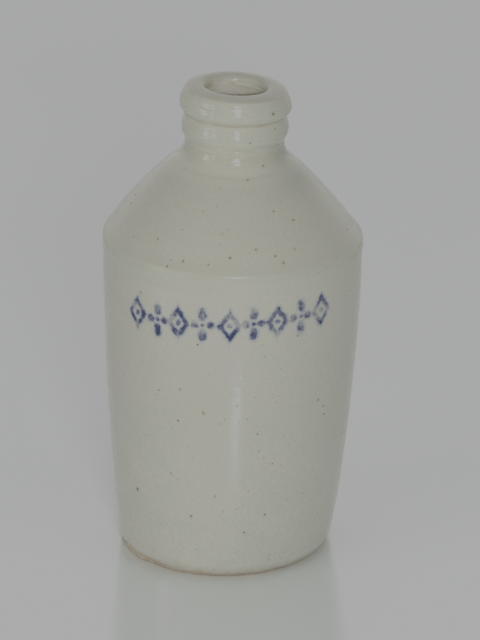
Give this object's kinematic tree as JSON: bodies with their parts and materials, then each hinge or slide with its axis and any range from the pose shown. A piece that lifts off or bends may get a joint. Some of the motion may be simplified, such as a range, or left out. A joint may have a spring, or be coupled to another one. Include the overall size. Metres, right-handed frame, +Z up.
{
  "type": "soy sauce bottle",
  "caption": "Hand-thrown glazed stoneware bottle with a tapering body, sloping shoulder and short ringed neck, open and empty.",
  "frame": {"origin": "middle of the flat foot, on the surface the bottle stands on", "axes": "+Z up towards the mouth, -Y towards the side shown in the picture, the bottle's own axis leans 1.3 degrees towards +X"},
  "size_m": [0.0824, 0.0824, 0.1544],
  "materials": {
    "stoneware": "glossy buff-grey glaze with iron specks, tan where it thins at the foot and in the grooves of the neck"
  },
  "bodies": {
    "root": {"bottle": "stoneware"}
  },
  "joints": []
}
